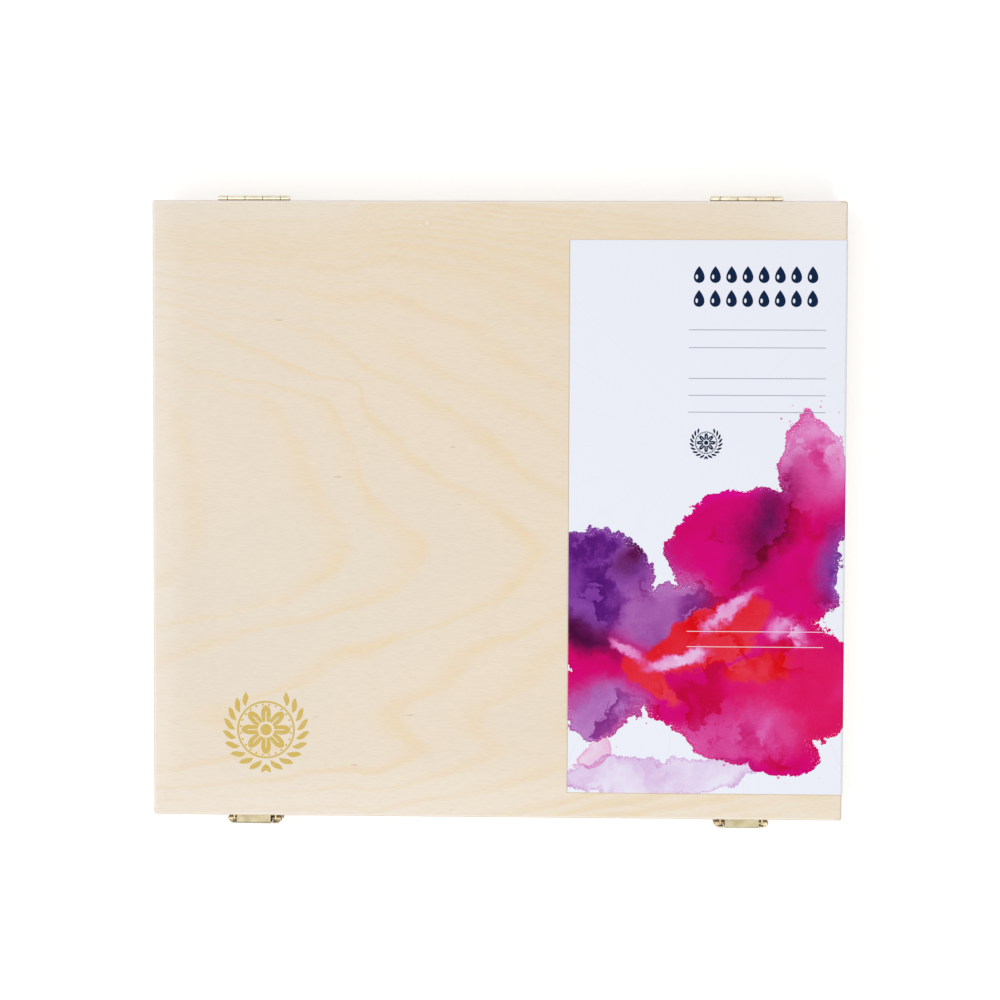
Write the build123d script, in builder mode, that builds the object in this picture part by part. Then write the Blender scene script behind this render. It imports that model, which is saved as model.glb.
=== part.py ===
from build123d import *
import math
import os

# Wooden box for tubes of watercolour: a base and a lid of jointed plywood walls,
# two butt hinges behind, two toggle latches in front, a formed tray of tubes inside.
# Millimetres. The origin is the centre of the underside, +Z up, the latches face -Y.

os.makedirs("parts", exist_ok=True)

# Box
box_width = 392.0
box_depth = 350.0
wall = 8.0
bottom_panel_thickness = 4.0
top_panel_thickness = 4.0
base_height = 30.0
lid_gap = 0.3
lid_height = 17.7
corner_round = 1.4
top_edge_round = 1.5
bottom_edge_round = 1.0
joint_edge_break = 0.4
base_fingers = 5
lid_fingers = 3

# Hinges and latches stand this far in from the sides of the box
hardware_inset = 55.5
sheet = 0.8
pin_clearance = 0.05

# Hinge
hinge_length = 41.0
end_knuckle = 5.2
knuckle_count = 5
knuckle_gap = 0.4
barrel_radius = 1.9
barrel_wall_gap = 0.3
hinge_pin_radius = 0.9
hinge_pin_overhang = 0.3
leaf_thickness = 0.9
leaf_wood_margin = 1.5
mortise_clearance = 0.1
hinge_screws_per_leaf = 3
hinge_screw_pitch = 13.0
hinge_screw_length = 9.0
hinge_screw_radius = 0.9
hinge_screw_head_radius = 1.7

# Latch
latch_pin_radius = 0.8
rivet_head_radius = 1.4
rivet_head_height = 0.5
rivet_head_slope = 35.0
rivet_play = 0.1
lever_pin_drop = 2.5
lever_pin_out = 5.2
claw_pin_drop = 8.5
claw_pin_out = 5.5
claw_width = 19.5
claw_eye_radius = 1.6
claw_bend_radius = 1.1
claw_tab_gap = 0.15
claw_plate_gap = 0.5
lever_width = 30.0
lever_web_gap = 0.2
lever_corner_radius = 2.6
lever_back_gap = 2.3
lever_crown_radius = 2.2
lever_web_top = 0.8
lever_slot_clearance = 0.25
lever_slot_drop = 2.6
lever_slot_corner = 1.5
lever_length = 20.0
lever_taper_width = 20.0
lever_taper_height = 5.0
lever_lip_out = 2.0
lever_lip_radius = 1.4
lever_lip_width = 17.0
cheek_radius = 1.8
cheek_gap = 0.15
base_plate_width = 26.0
base_plate_joint_gap = 0.6
base_plate_drop = 15.0
base_plate_corner = 2.0
strike_width = 25.0
strike_height = 12.0
strike_joint_gap = 1.0
strike_corner = 2.5
strike_tab_rise = 3.5
strike_tab_width = 15.0
strike_tab_gap = 0.4
strike_tab_corner = 1.0
strike_screw_spacing = 11.6
strike_screw_rise = 4.5
base_screw_spacing = 16.0
base_screw_upper_drop = 4.2
base_screw_lower_drop = 13.0

# Round-headed wood screw of the latches
screw_radius = 0.9
screw_wood_margin = 1.5
screw_head_radius = 1.9
screw_head_height = 1.1
screw_cross_length = 2.2
screw_cross_width = 0.45
screw_cross_depth = 0.6
pilot_clearance = 0.05

# Label card over the lid and its right-hand edge
card_thickness = 0.4
card_width = 155.5
card_back_margin = 22.0
card_front_margin = 15.0
card_fold_drop = 15.5
card_lift = 0.05

# Foam pad in the lid
foam_side_gap = 2.0
foam_joint_gap = 0.3
foam_corner = 4.0

# Paint tube and cap
tube_radius = 5.9
tube_gap = 0.2
tube_lid_gap = 0.8
tube_round_length = 20.0
tube_flare_length = 31.0
tube_crimp_length = 6.0
tube_crimp_thickness = 1.1
tube_shoulder_length = 2.2
tube_nozzle_radius = 3.0
tube_nozzle_length = 8.0
cap_radius = 5.1
cap_top_radius = 4.6
cap_length = 12.5
cap_sides = 12
cap_bore_clearance = 0.1
cap_shoulder_gap = 0.3
cap_edge_break = 0.4

# Formed tray
tray_sheet = 1.0
tray_clearance = 0.5
cradle_clearance = 0.35
ridge_radius = 5.0
tube_end_play = 0.5
least_channel = 8.0
channel_floor_height = 4.0

# Derived places of the box
inner_width = box_width - 2 * wall
inner_depth = box_depth - 2 * wall
front = box_depth / 2
joint_z = base_height + lid_gap
lid_top = joint_z + lid_height
base_wall_height = base_height - bottom_panel_thickness
rail_height = lid_height - top_panel_thickness
rail_top = joint_z + rail_height
hardware_x = box_width / 2 - hardware_inset
sides = {"left": -hardware_x, "right": hardware_x}

# Derived places of the hinge
hinge_y = box_depth / 2 + barrel_radius + barrel_wall_gap
hinge_z = base_height + lid_gap / 2
hinge_bore_radius = hinge_pin_radius + pin_clearance
middle_knuckle = (hinge_length - 2 * end_knuckle) / (knuckle_count - 2)
leaf_depth = wall - leaf_wood_margin
leaf_middle_y = box_depth / 2 - leaf_depth / 2
hinge_screw_offsets = [
    (place - (hinge_screws_per_leaf - 1) / 2) * hinge_screw_pitch
    for place in range(hinge_screws_per_leaf)
]

# Derived places of the latch; "out" is the distance in front of the box's front face
lever_pin_z = base_height - lever_pin_drop
claw_pin_z = lever_pin_z - claw_pin_drop
claw_front_out = claw_pin_out + claw_eye_radius
lever_inner_out = claw_front_out + lever_web_gap
lever_front_out = lever_inner_out + sheet
lever_back_out = sheet + lever_back_gap
lever_tip_z = lever_pin_z - lever_length
lever_crown_z = lever_pin_z + lever_crown_radius
lever_lip_end_out = lever_front_out + lever_lip_out
slot_width = claw_width + 2 * lever_slot_clearance
slot_bottom_z = claw_pin_z - lever_slot_drop
cheek_outer = lever_width / 2 - lever_corner_radius
knuckle_width = lever_width / 2 - cheek_outer - cheek_gap
tab_z = joint_z + strike_tab_rise
tab_end_out = claw_front_out - sheet - strike_tab_gap
claw_top_z = tab_z + claw_tab_gap + sheet
claw_end_out = sheet + claw_plate_gap
latch_bore_radius = latch_pin_radius + pin_clearance
screw_length = wall + sheet - screw_wood_margin

# Derived places of the tubes and the tray
crimp_width = math.pi * tube_radius
tray_width = inner_width - 2 * tray_clearance
tray_depth = inner_depth - 2 * tray_clearance
tubes_per_row = int(tray_width // (crimp_width + tube_gap))
tube_pitch = tray_width / tubes_per_row
tube_z = base_height - tube_lid_gap - tube_radius
tube_body_length = tube_round_length + tube_flare_length + tube_crimp_length
tube_length = cap_length + cap_shoulder_gap + tube_shoulder_length + tube_body_length
pocket_length = tube_length + 2 * tube_end_play + 2 * tray_sheet
row_count = int((tray_depth + least_channel) // (pocket_length + least_channel))
row_pitch = (tray_depth - pocket_length) / max(row_count - 1, 1)
row_starts = [-tray_depth / 2 + row * row_pitch for row in range(row_count)]
tube_xs = [(place - (tubes_per_row - 1) / 2) * tube_pitch for place in range(tubes_per_row)]
cradle_radius = tube_radius + cradle_clearance
ridge_reach = cradle_radius + ridge_radius
ridge_z = tube_z - math.sqrt(ridge_reach**2 - (tube_pitch / 2) ** 2)
ridge_top_z = ridge_z + ridge_radius
channel_floor_z = bottom_panel_thickness + channel_floor_height

# The front face, facing out: its local axes are X and Z
front_plane = Plane.XZ.offset(front)


def out_y(out):
    """Y of a point that stands this far in front of the front face."""
    return -front - out


# Walls
def jointed_wall(side, bottom, height, fingers, eased_end):
    """One wall of a rectangular frame, cut from its ring and notched for box joints."""
    long_wall = side in ("front", "back")
    direction = -1 if side in ("front", "left") else 1
    centre = (
        (0, direction * (box_depth - wall) / 2)
        if long_wall
        else (direction * (box_width - wall) / 2, 0)
    )
    finger = height / fingers
    with BuildPart() as piece:
        with BuildSketch(Plane.XY.offset(bottom)):
            RectangleRounded(box_width, box_depth, corner_round)
            Rectangle(inner_width, inner_depth, mode=Mode.SUBTRACT)
        extrude(amount=height)
        eased_face = piece.faces().filter_by(Axis.Z).sort_by(Axis.Z)[eased_end]
        chamfer(eased_face.outer_wire().edges(), joint_edge_break)
        with BuildSketch(Plane.XY.offset(bottom)):
            with Locations(centre):
                Rectangle(box_width if long_wall else wall, wall if long_wall else box_depth)
        extrude(amount=height, mode=Mode.INTERSECT)
        for level in range(1 if long_wall else 0, fingers, 2):
            with BuildSketch(Plane.XY.offset(bottom + level * finger)):
                with GridLocations(box_width - wall, box_depth - wall, 2, 2):
                    Rectangle(wall, wall)
            extrude(amount=finger, mode=Mode.SUBTRACT)
    return piece.part


def base_wall(side):
    return jointed_wall(side, bottom_panel_thickness, base_wall_height, base_fingers, -1)


def lid_rail(side):
    return jointed_wall(side, joint_z, rail_height, lid_fingers, 0)


def screw_points(screws):
    """Centres on the front face, as X and Z, of the screws of both latches."""
    return [(centre + x, z) for centre in sides.values() for x, z in screws]


strike_screw_points = screw_points(
    [(x, tab_z + strike_screw_rise) for x in (-strike_screw_spacing / 2, strike_screw_spacing / 2)]
)
base_screw_points = screw_points(
    [
        (x, lever_pin_z - drop)
        for x in (-base_screw_spacing / 2, base_screw_spacing / 2)
        for drop in (base_screw_upper_drop, base_screw_lower_drop)
    ]
)
hinge_screw_xs = [centre + x for centre in sides.values() for x in hinge_screw_offsets]

with BuildPart() as base_front_wall:
    add(base_wall("front"))
    with BuildSketch(front_plane):
        with Locations(*base_screw_points):
            Circle(screw_radius + pilot_clearance)
    extrude(amount=-(screw_length - sheet + pilot_clearance), mode=Mode.SUBTRACT)
base_front_wall.part.label = "base_front_wall"
export_step(base_front_wall.part, "parts/base_front_wall.step")

with BuildPart() as base_back_wall:
    add(base_wall("back"))
    with BuildSketch(Plane.XY.offset(base_height)):
        for centre in sides.values():
            with Locations((centre, leaf_middle_y)):
                Rectangle(hinge_length + 2 * mortise_clearance, leaf_depth + 2 * mortise_clearance)
    extrude(amount=-leaf_thickness, mode=Mode.SUBTRACT)
    with BuildSketch(Plane.XY.offset(base_height)):
        with Locations(*((x, leaf_middle_y) for x in hinge_screw_xs)):
            Circle(hinge_screw_radius + pilot_clearance)
    extrude(amount=-(hinge_screw_length + pilot_clearance), mode=Mode.SUBTRACT)
base_back_wall.part.label = "base_back_wall"
export_step(base_back_wall.part, "parts/base_back_wall.step")

with BuildPart() as base_left_wall:
    add(base_wall("left"))
base_left_wall.part.label = "base_left_wall"
export_step(base_left_wall.part, "parts/base_left_wall.step")

with BuildPart() as base_right_wall:
    add(base_wall("right"))
base_right_wall.part.label = "base_right_wall"
export_step(base_right_wall.part, "parts/base_right_wall.step")

with BuildPart() as lid_front_rail:
    add(lid_rail("front"))
    with BuildSketch(front_plane):
        with Locations(*strike_screw_points):
            Circle(screw_radius + pilot_clearance)
    extrude(amount=-(screw_length - sheet + pilot_clearance), mode=Mode.SUBTRACT)
lid_front_rail.part.label = "lid_front_rail"
export_step(lid_front_rail.part, "parts/lid_front_rail.step")

with BuildPart() as lid_back_rail:
    add(lid_rail("back"))
    with BuildSketch(Plane.XY.offset(joint_z)):
        for centre in sides.values():
            with Locations((centre, leaf_middle_y)):
                Rectangle(hinge_length + 2 * mortise_clearance, leaf_depth + 2 * mortise_clearance)
    extrude(amount=leaf_thickness, mode=Mode.SUBTRACT)
    with BuildSketch(Plane.XY.offset(joint_z)):
        with Locations(*((x, leaf_middle_y) for x in hinge_screw_xs)):
            Circle(hinge_screw_radius + pilot_clearance)
    extrude(amount=hinge_screw_length + pilot_clearance, mode=Mode.SUBTRACT)
lid_back_rail.part.label = "lid_back_rail"
export_step(lid_back_rail.part, "parts/lid_back_rail.step")

with BuildPart() as lid_left_rail:
    add(lid_rail("left"))
lid_left_rail.part.label = "lid_left_rail"
export_step(lid_left_rail.part, "parts/lid_left_rail.step")

with BuildPart() as lid_right_rail:
    add(lid_rail("right"))
lid_right_rail.part.label = "lid_right_rail"
export_step(lid_right_rail.part, "parts/lid_right_rail.step")

# Panels glued edge to edge on the walls
with BuildPart() as base_bottom_panel:
    with BuildSketch():
        RectangleRounded(box_width, box_depth, corner_round)
    extrude(amount=bottom_panel_thickness)
    fillet(base_bottom_panel.faces().sort_by(Axis.Z)[0].edges(), bottom_edge_round)
base_bottom_panel.part.label = "base_bottom_panel"
export_step(base_bottom_panel.part, "parts/base_bottom_panel.step")

with BuildPart() as lid_top_panel:
    with BuildSketch(Plane.XY.offset(rail_top)):
        RectangleRounded(box_width, box_depth, corner_round)
    extrude(amount=top_panel_thickness)
    fillet(lid_top_panel.faces().sort_by(Axis.Z)[-1].edges(), top_edge_round)
lid_top_panel.part.label = "lid_top_panel"
export_step(lid_top_panel.part, "parts/lid_top_panel.step")

# Label card, folded down over the right-hand edge of the lid
card_inner_x = box_width / 2 + card_lift
card_inner_z = lid_top + card_lift
card_start_x = box_width / 2 - card_width
card_back_y = box_depth / 2 - card_back_margin
card_length = box_depth - card_back_margin - card_front_margin
with BuildPart() as label_card:
    with BuildSketch(Plane.XZ.offset(-card_back_y)):
        with BuildLine():
            FilletPolyline(
                (card_start_x, card_inner_z),
                (card_inner_x, card_inner_z),
                (card_inner_x, lid_top - card_fold_drop),
                radius=top_edge_round,
            )
            offset(amount=card_thickness, side=Side.LEFT)
        make_face()
    extrude(amount=card_length)
label_card.part.label = "label_card"
export_step(label_card.part, "parts/label_card.step")

# Foam pad, glued under the top panel between the rails
with BuildPart() as lid_foam_pad:
    with BuildSketch(Plane.XY.offset(joint_z + foam_joint_gap)):
        RectangleRounded(inner_width - 2 * foam_side_gap, inner_depth - 2 * foam_side_gap, foam_corner)
    extrude(amount=rail_height - foam_joint_gap)
lid_foam_pad.part.label = "lid_foam_pad"
export_step(lid_foam_pad.part, "parts/lid_foam_pad.step")

# Section of the tray's sheet across one tube, a trough between two half ridges
with BuildSketch() as cradle_wave:
    touch_share = cradle_radius / ridge_reach
    touch_x = touch_share * tube_pitch / 2
    touch_z = tube_z - touch_share * (tube_z - ridge_z)
    under_share = (cradle_radius + tray_sheet) / ridge_reach
    under_x = under_share * tube_pitch / 2
    under_z = tube_z - under_share * (tube_z - ridge_z)
    with BuildLine():
        trough = ThreePointArc(
            (-touch_x, touch_z), (0, tube_z - cradle_radius), (touch_x, touch_z)
        )
        right_ridge = TangentArc(trough @ 1, (tube_pitch / 2, ridge_top_z), tangent=trough % 1)
        right_end = Line(right_ridge @ 1, (tube_pitch / 2, ridge_top_z - tray_sheet))
        right_under = TangentArc(right_end @ 1, (under_x, under_z), tangent=(-1, 0))
        keel = ThreePointArc(
            right_under @ 1, (0, tube_z - cradle_radius - tray_sheet), (-under_x, under_z)
        )
        left_under = TangentArc(
            keel @ 1, (-tube_pitch / 2, ridge_top_z - tray_sheet), tangent=keel % 1
        )
        left_end = Line(left_under @ 1, (-tube_pitch / 2, ridge_top_z))
        TangentArc(left_end @ 1, trough @ 0, tangent=(1, 0))
    make_face()

# Tray: rows of cradles between end plates, with finger channels between the rows
with BuildPart() as tube_tray:
    for start in row_starts:
        with BuildSketch(Plane.XZ.offset(-start - pocket_length)):
            with Locations(*((x, 0) for x in tube_xs)):
                add(cradle_wave.sketch)
        extrude(amount=pocket_length)
    plate_starts = [y for start in row_starts for y in (start, start + pocket_length - tray_sheet)]
    for start in plate_starts:
        with BuildSketch(Plane.XY.offset(bottom_panel_thickness)):
            with Locations((0, start + tray_sheet / 2)):
                Rectangle(tray_width, tray_sheet)
        extrude(amount=ridge_top_z - bottom_panel_thickness)
    with BuildSketch(Plane.XY.offset(bottom_panel_thickness)):
        with Locations(
            (-(tray_width - tray_sheet) / 2, 0),
            ((tray_width - tray_sheet) / 2, 0),
        ):
            Rectangle(tray_sheet, tray_depth)
    extrude(amount=ridge_top_z - bottom_panel_thickness)
    with BuildSketch(Plane.XY.offset(channel_floor_z)):
        for start in row_starts[:-1]:
            channel_middle = start + (pocket_length + row_pitch) / 2
            with Locations((0, channel_middle)):
                Rectangle(tray_width, row_pitch - pocket_length + 2 * tray_sheet)
    extrude(amount=tray_sheet)
tube_tray.part.label = "tube_tray"
export_step(tube_tray.part, "parts/tube_tray.step")

# One paint tube with its nozzle towards -Y; its shoulder starts at y = 0
with BuildPart() as paint_tube:
    with BuildSketch(Plane.XZ):
        Circle(tube_nozzle_radius)
    extrude(amount=tube_nozzle_length)
    with BuildSketch(Plane.XZ):
        Circle(tube_nozzle_radius)
    with BuildSketch(Plane.XZ.offset(-tube_shoulder_length)):
        Circle(tube_radius)
    loft()
    with BuildSketch(Plane.XZ.offset(-tube_shoulder_length)):
        Circle(tube_radius)
    extrude(amount=-tube_round_length)
    flare_start = tube_shoulder_length + tube_round_length
    with BuildSketch(Plane.XZ.offset(-flare_start)):
        Circle(tube_radius)
    with BuildSketch(Plane.XZ.offset(-flare_start - tube_flare_length)):
        Ellipse(crimp_width / 2, tube_crimp_thickness / 2)
    loft()
    with BuildSketch(Plane.XZ.offset(-flare_start - tube_flare_length)):
        Rectangle(crimp_width, tube_crimp_thickness)
    extrude(amount=-tube_crimp_length)

# One screw cap, mouth towards +Y at y = 0
with BuildPart() as tube_cap:
    with BuildSketch(Plane.XZ):
        RegularPolygon(cap_radius, cap_sides)
    with BuildSketch(Plane.XZ.offset(cap_length)):
        RegularPolygon(cap_top_radius, cap_sides)
    loft()
    chamfer(tube_cap.faces().sort_by(Axis.Y)[0].edges(), cap_edge_break)
    with BuildSketch(Plane.XZ):
        Circle(tube_nozzle_radius + cap_bore_clearance)
    extrude(amount=tube_nozzle_length + cap_bore_clearance, mode=Mode.SUBTRACT)

for row, start in enumerate(row_starts, 1):
    cap_mouth_y = start + tray_sheet + tube_end_play + cap_length
    shoulder_y = cap_mouth_y + cap_shoulder_gap
    with BuildPart() as tubes_row:
        with Locations(*((x, shoulder_y, tube_z) for x in tube_xs)):
            add(paint_tube.part)
    tubes_row.part.label = f"tubes_row_{row}"
    export_step(tubes_row.part, f"parts/tubes_row_{row}.step")
    with BuildPart() as caps_row:
        with Locations(*((x, cap_mouth_y, tube_z) for x in tube_xs)):
            add(tube_cap.part)
    caps_row.part.label = f"caps_row_{row}"
    export_step(caps_row.part, f"parts/caps_row_{row}.step")


# Hinges
def hinge_leaf(centre, face_z, thickness_sign, first_knuckle):
    """A leaf let into the joint face, with every second knuckle of the barrel."""
    plate_middle_z = face_z + thickness_sign * leaf_thickness / 2
    with BuildPart() as leaf:
        with BuildSketch(Plane.YZ.offset(centre - hinge_length / 2)):
            with Locations((leaf_middle_y, plate_middle_z)):
                Rectangle(leaf_depth, leaf_thickness)
        extrude(amount=hinge_length)
        for place in range(first_knuckle, knuckle_count, 2):
            at_end = place in (0, knuckle_count - 1)
            start = 0 if place == 0 else end_knuckle + (place - 1) * middle_knuckle
            length = end_knuckle if at_end else middle_knuckle
            knuckle_x = centre - hinge_length / 2 + start + knuckle_gap / 2
            with BuildSketch(Plane.YZ.offset(knuckle_x)):
                with Locations((hinge_y, hinge_z)):
                    Circle(barrel_radius)
                with Locations(((leaf_middle_y + hinge_y) / 2, plate_middle_z)):
                    Rectangle(hinge_y - leaf_middle_y, leaf_thickness)
                with Locations((hinge_y, hinge_z)):
                    Circle(hinge_bore_radius, mode=Mode.SUBTRACT)
            extrude(amount=length - knuckle_gap)
        face_plane = Plane(origin=(centre, leaf_middle_y, face_z), z_dir=(0, 0, -thickness_sign))
        with Locations(face_plane):
            with Locations(*((x, 0) for x in hinge_screw_offsets)):
                CounterSinkHole(hinge_screw_radius + pilot_clearance, hinge_screw_head_radius)
    return leaf.part


for side, centre in sides.items():
    with BuildPart() as base_leaf:
        add(hinge_leaf(centre, base_height, -1, 0))
    base_leaf.part.label = f"hinge_{side}_base_leaf"
    export_step(base_leaf.part, f"parts/hinge_{side}_base_leaf.step")

    with BuildPart() as lid_leaf:
        add(hinge_leaf(centre, joint_z, 1, 1))
    lid_leaf.part.label = f"hinge_{side}_lid_leaf"
    export_step(lid_leaf.part, f"parts/hinge_{side}_lid_leaf.step")

    with BuildPart() as hinge_pin:
        pin_length = hinge_length + 2 * hinge_pin_overhang
        with BuildSketch(Plane.YZ.offset(centre - pin_length / 2)):
            with Locations((hinge_y, hinge_z)):
                Circle(hinge_pin_radius)
        extrude(amount=pin_length)
        chamfer(hinge_pin.edges().filter_by(GeomType.CIRCLE), hinge_pin_overhang)
    hinge_pin.part.label = f"hinge_{side}_pin"
    export_step(hinge_pin.part, f"parts/hinge_{side}_pin.step")

# Countersunk hinge screw, head up at z = 0
with BuildPart() as hinge_screw:
    head_taper = hinge_screw_head_radius - hinge_screw_radius
    with BuildSketch(Plane.XZ):
        with BuildLine():
            Polyline(
                (0, 0),
                (hinge_screw_head_radius - pilot_clearance, 0),
                (hinge_screw_radius, -head_taper + pilot_clearance),
                (hinge_screw_radius, -hinge_screw_length + 2 * hinge_screw_radius),
                (0, -hinge_screw_length),
                close=True,
            )
        make_face()
    revolve(axis=Axis.Z)
    with BuildSketch(Plane.XY):
        Rectangle(screw_cross_length, screw_cross_width)
        Rectangle(screw_cross_width, screw_cross_length)
    extrude(amount=-screw_cross_depth, mode=Mode.SUBTRACT)

with BuildPart() as hinge_base_screws:
    with Locations(*((x, leaf_middle_y, base_height) for x in hinge_screw_xs)):
        add(hinge_screw.part)
hinge_base_screws.part.label = "hinge_base_screws"
export_step(hinge_base_screws.part, "parts/hinge_base_screws.step")

with BuildPart() as hinge_lid_screws:
    with Locations(
        *(
            Plane(origin=(x, leaf_middle_y, joint_z), z_dir=(0, 0, -1))
            for x in hinge_screw_xs
        )
    ):
        add(hinge_screw.part)
hinge_lid_screws.part.label = "hinge_lid_screws"
export_step(hinge_lid_screws.part, "parts/hinge_lid_screws.step")

# Round-headed screw, the underside of its head at z = 0 and its shank down
with BuildPart() as latch_screw:
    with BuildSketch(Plane.XZ):
        with BuildLine():
            dome = TangentArc((0, screw_head_height), (screw_head_radius, 0), tangent=(1, 0))
            Polyline(
                dome @ 1,
                (screw_radius, 0),
                (screw_radius, -screw_length + 2 * screw_radius),
                (0, -screw_length),
                (0, screw_head_height),
            )
        make_face()
    revolve(axis=Axis.Z)
    with BuildSketch(Plane.XY.offset(screw_head_height)):
        Rectangle(screw_cross_length, screw_cross_width)
        Rectangle(screw_cross_width, screw_cross_length)
    extrude(amount=-screw_cross_depth, mode=Mode.SUBTRACT)

head_plane = front_plane.offset(sheet)
with BuildPart() as strike_screws:
    with Locations(head_plane):
        with Locations(*strike_screw_points):
            add(latch_screw.part)
strike_screws.part.label = "strike_screws"
export_step(strike_screws.part, "parts/strike_screws.step")

with BuildPart() as latch_base_screws:
    with Locations(head_plane):
        with Locations(*base_screw_points):
            add(latch_screw.part)
latch_base_screws.part.label = "latch_base_screws"
export_step(latch_base_screws.part, "parts/latch_base_screws.step")


# Latches
def strike_plate(centre):
    """Plate on the lid with a flat tab that the claw hooks over."""
    bottom = joint_z + strike_joint_gap
    with BuildPart() as plate:
        with BuildSketch(front_plane):
            with Locations((centre, bottom + strike_height / 2)):
                RectangleRounded(strike_width, strike_height, strike_corner)
            with Locations(*strike_screw_points):
                Circle(screw_radius + pilot_clearance, mode=Mode.SUBTRACT)
        extrude(amount=sheet)
        with BuildSketch(Plane.XY.offset(tab_z)) as tab:
            with Locations((centre, out_y(tab_end_out / 2))):
                Rectangle(strike_tab_width, tab_end_out)
            fillet(tab.vertices().group_by(Axis.Y)[0], strike_tab_corner)
        extrude(amount=-sheet)
    return plate.part


def base_plate(centre):
    """Plate on the base with two cheeks that carry the lever's pin."""
    top = base_height - base_plate_joint_gap
    bottom = lever_pin_z - base_plate_drop
    with BuildPart() as plate:
        with BuildSketch(front_plane):
            with Locations((centre, (top + bottom) / 2)):
                RectangleRounded(base_plate_width, top - bottom, base_plate_corner)
            with Locations(*base_screw_points):
                Circle(screw_radius + pilot_clearance, mode=Mode.SUBTRACT)
        extrude(amount=sheet)
        for cheek_x in (centre - cheek_outer, centre + cheek_outer - sheet):
            with BuildSketch(Plane.YZ.offset(cheek_x)):
                with Locations((out_y(lever_pin_out), lever_pin_z)):
                    Circle(cheek_radius)
                with Locations((out_y(lever_pin_out / 2), lever_pin_z)):
                    Rectangle(lever_pin_out, 2 * cheek_radius)
                with Locations((out_y(lever_pin_out), lever_pin_z)):
                    Circle(latch_bore_radius, mode=Mode.SUBTRACT)
            extrude(amount=sheet)
    return plate.part


def claw(centre):
    """Strap rolled round its pin below and bent flat over the strike tab above."""
    with BuildPart() as strap:
        with BuildSketch(Plane.YZ.offset(centre - claw_width / 2)):
            with BuildLine():
                FilletPolyline(
                    (out_y(claw_front_out), claw_pin_z),
                    (out_y(claw_front_out), claw_top_z),
                    (out_y(claw_end_out), claw_top_z),
                    radius=claw_bend_radius,
                )
                offset(amount=sheet, side=Side.RIGHT)
            make_face()
            with Locations((out_y(claw_pin_out), claw_pin_z)):
                Circle(claw_eye_radius)
                Circle(latch_bore_radius, mode=Mode.SUBTRACT)
        extrude(amount=claw_width)
    return strap.part


def lever(centre):
    """Pressed channel, rolled round its pin above, that carries the claw and ends in a lip."""
    left = centre - lever_width / 2
    with BuildPart() as pressing:
        with BuildSketch(Plane.XY.offset(lever_tip_z)):
            with BuildLine():
                FilletPolyline(
                    (left, out_y(lever_back_out)),
                    (left, out_y(lever_front_out)),
                    (left + lever_width, out_y(lever_front_out)),
                    (left + lever_width, out_y(lever_back_out)),
                    radius=lever_corner_radius,
                )
                offset(amount=sheet, side=Side.LEFT)
            make_face()
        extrude(amount=lever_crown_z - lever_tip_z)
        with BuildSketch(Plane.YZ.offset(left)):
            with BuildLine():
                Polyline(
                    (out_y(lever_back_out), lever_pin_z),
                    (out_y(lever_back_out), slot_bottom_z),
                    (out_y(lever_inner_out), lever_tip_z + lever_taper_height / 2),
                    (out_y(lever_inner_out), lever_tip_z),
                    (out_y(lever_front_out), lever_tip_z),
                    (out_y(lever_front_out), lever_pin_z + lever_web_top),
                    (out_y(lever_pin_out), lever_crown_z),
                    (out_y(lever_pin_out), lever_pin_z),
                    close=True,
                )
            make_face()
            with Locations((out_y(lever_pin_out), lever_pin_z)):
                Circle(lever_crown_radius)
        extrude(amount=lever_width, mode=Mode.INTERSECT)
        for knuckle_x in (left, left + lever_width - knuckle_width):
            with BuildSketch(Plane.YZ.offset(knuckle_x)):
                with Locations((out_y(lever_pin_out), lever_pin_z)):
                    Circle(lever_crown_radius)
            extrude(amount=knuckle_width)
        with BuildSketch(Plane.XY.offset(lever_tip_z)):
            with Locations((centre, out_y(0))):
                RectangleRounded(lever_width, 2 * lever_front_out, lever_corner_radius)
        extrude(amount=lever_crown_z - lever_tip_z, mode=Mode.INTERSECT)
        with BuildSketch(front_plane):
            with BuildLine():
                Polyline(
                    (left, lever_crown_z),
                    (left, lever_tip_z + lever_taper_height),
                    (centre - lever_taper_width / 2, lever_tip_z),
                    (centre + lever_taper_width / 2, lever_tip_z),
                    (left + lever_width, lever_tip_z + lever_taper_height),
                    (left + lever_width, lever_crown_z),
                    close=True,
                )
            make_face()
        extrude(amount=lever_front_out, mode=Mode.INTERSECT)
        with BuildSketch(Plane.YZ.offset(centre - lever_lip_width / 2)):
            with BuildLine():
                FilletPolyline(
                    (out_y(lever_inner_out), lever_tip_z + lever_taper_height / 2),
                    (out_y(lever_inner_out), lever_tip_z - sheet),
                    (out_y(lever_lip_end_out), lever_tip_z - sheet),
                    radius=lever_lip_radius,
                )
                offset(amount=sheet, side=Side.RIGHT)
            make_face()
        extrude(amount=lever_lip_width)
        with BuildSketch(front_plane) as slot:
            with Locations((centre, (slot_bottom_z + lever_crown_z) / 2)):
                Rectangle(slot_width, lever_crown_z - slot_bottom_z)
            fillet(slot.vertices().group_by(Axis.Z)[0], lever_slot_corner)
        extrude(amount=lever_front_out + sheet, mode=Mode.SUBTRACT)
        with BuildSketch(Plane.YZ.offset(left)):
            with Locations(
                (out_y(lever_pin_out), lever_pin_z),
                (out_y(claw_pin_out), claw_pin_z),
            ):
                Circle(latch_bore_radius)
        extrude(amount=lever_width, mode=Mode.SUBTRACT)
    return pressing.part


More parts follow.
